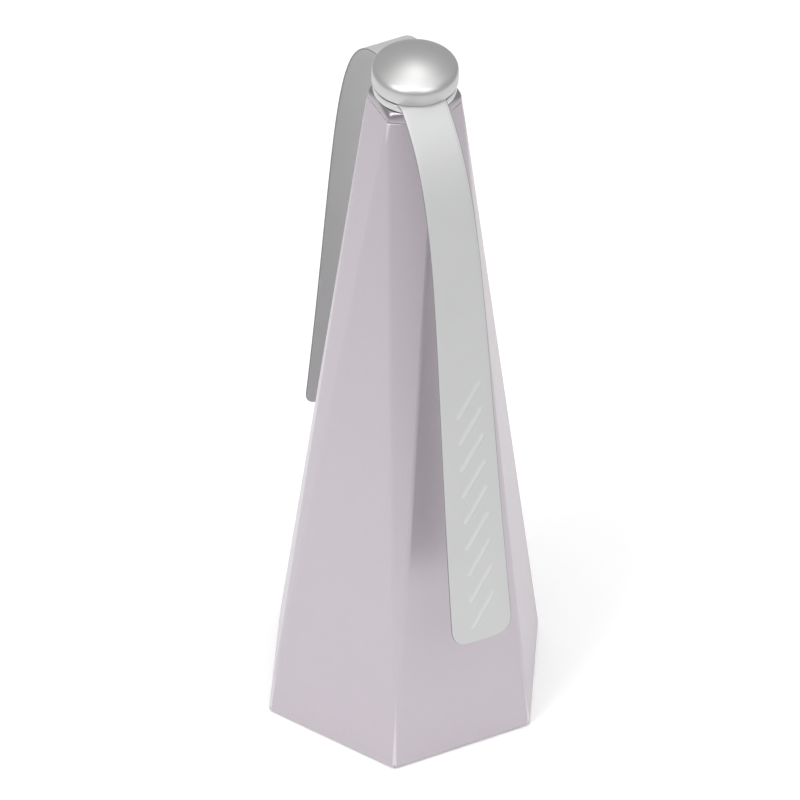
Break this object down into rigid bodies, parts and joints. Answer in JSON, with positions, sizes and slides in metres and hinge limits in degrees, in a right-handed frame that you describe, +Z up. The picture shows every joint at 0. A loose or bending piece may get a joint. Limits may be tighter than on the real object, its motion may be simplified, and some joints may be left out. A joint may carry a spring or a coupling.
{
  "type": "table-top fly fan",
  "caption": "Tall faceted tower with a domed silver hub on top that turns slowly and swings out long soft hanging blades to keep flies off food.",
  "frame": {"origin": "on the table under the middle of the base, at the bottom of the feet", "axes": "+Z up along the tower; a corner of the base hexagon points to -Y, and the front blade hangs 30 degrees round from it towards +X"},
  "size_m": [0.09, 0.1234, 0.2724],
  "materials": {
    "pearl_body": "satin pearl paint, mauve silver",
    "silver_hub": "satin silver plating",
    "blade_film": "soft flexible film, satin, light grey",
    "base_plastic": "fine moulded texture",
    "foot_rubber": "matte",
    "zinc_steel": "zinc plated",
    "brass_parts": "turned",
    "battery_sleeve": "printed plastic sleeve over the cell, plain",
    "black_plastic": "moulded",
    "white_plastic": "natural acetal",
    "circuit_board": "solder mask",
    "red_insulation": "flexible insulation"
  },
  "bodies": {
    "tower": {"tower_shell": "pearl_body", "top_collar": "pearl_body", "base_plate": "base_plastic", "rubber_foot_1": "foot_rubber", "rubber_foot_2": "foot_rubber", "rubber_foot_3": "foot_rubber", "rubber_foot_4": "foot_rubber", "rubber_foot_5": "foot_rubber", "rubber_foot_6": "foot_rubber", "base_screw_1": "zinc_steel", "base_screw_2": "zinc_steel", "base_screw_3": "zinc_steel", "battery_1": "battery_sleeve", "battery_2": "battery_sleeve", "contact_spring_1": "zinc_steel", "contact_spring_2": "zinc_steel", "contact_positive": "zinc_steel", "contact_negative": "zinc_steel", "contact_bridge": "zinc_steel", "switch_body": "zinc_steel", "switch_board": "circuit_board", "gear_axle_1": "zinc_steel", "gear_axle_2": "zinc_steel", "gearbox_lower_plate": "base_plastic", "gearbox_upper_plate": "base_plastic", "lower_shaft_bush": "brass_parts", "gearbox_screw_1": "zinc_steel", "gearbox_screw_2": "zinc_steel", "gearbox_screw_3": "zinc_steel", "motor_screw_1": "zinc_steel", "motor_screw_2": "zinc_steel", "motor_can": "zinc_steel", "motor_end_cap": "white_plastic", "motor_terminal_1": "brass_parts", "motor_terminal_2": "brass_parts", "wire_battery_to_switch": "black_plastic", "wire_switch_to_motor": "black_plastic", "wire_battery_to_motor": "red_insulation", "upper_shaft_bush": "brass_parts"},
    "rotor": {"output_shaft": "zinc_steel", "output_gear": "white_plastic", "thrust_washer": "white_plastic", "hub_base": "silver_hub", "hub_cap": "silver_hub", "blade_root_front": "blade_film", "blade_root_rear": "blade_film"},
    "front_blade": {"blade_front": "blade_film"},
    "rear_blade": {"blade_rear": "blade_film"},
    "gear_1": {"compound_gear_1": "white_plastic"},
    "gear_2": {"compound_gear_2": "white_plastic"},
    "motor_rotor": {"motor_armature": "zinc_steel", "motor_pinion": "brass_parts"},
    "door": {"battery_door": "base_plastic"},
    "switch": {"switch_knob": "black_plastic"}
  },
  "joints": [
    {"name": "rotor_spin", "type": "hinge", "parent": "tower", "child": "rotor", "pos_m": [0, 0, 0.262], "axis": [0, 0, 1], "continuous": true},
    {"name": "front_blade_lift", "type": "hinge", "parent": "rotor", "child": "front_blade", "pos_m": [0.00493, -0.01453, 0.2596], "axis": [-0.866, -0.5, 0], "range_deg": [0, 65]},
    {"name": "rear_blade_lift", "type": "hinge", "parent": "rotor", "child": "rear_blade", "pos_m": [-0.00529, 0.01516, 0.2613], "axis": [0.866, 0.5, 0], "range_deg": [0, 65]},
    {"name": "gear_1_spin", "type": "hinge", "parent": "tower", "child": "gear_1", "pos_m": [0.0096, 0, 0.192], "axis": [0, 0, 1], "continuous": true},
    {"name": "gear_2_spin", "type": "hinge", "parent": "tower", "child": "gear_2", "pos_m": [0.0048, 0.00831, 0.192], "axis": [0, 0, 1], "continuous": true},
    {"name": "motor_spin", "type": "hinge", "parent": "tower", "child": "motor_rotor", "pos_m": [0, 0, 0.18], "axis": [0, 0, 1], "continuous": true},
    {"name": "battery_door_swing", "type": "hinge", "parent": "tower", "child": "door", "pos_m": [0, 0.0168, 0.001], "axis": [1, 0, 0], "range_deg": [0, 100]},
    {"name": "power_switch", "type": "slide", "parent": "tower", "child": "switch", "axis": [1, 0, 0], "range_m": [0, 0.004]}
  ],
  "couplings": [
    {"joint": "gear_2_spin", "follows": "rotor_spin", "ratio": -3},
    {"joint": "gear_1_spin", "follows": "rotor_spin", "ratio": 9},
    {"joint": "motor_spin", "follows": "rotor_spin", "ratio": -27}
  ]
}
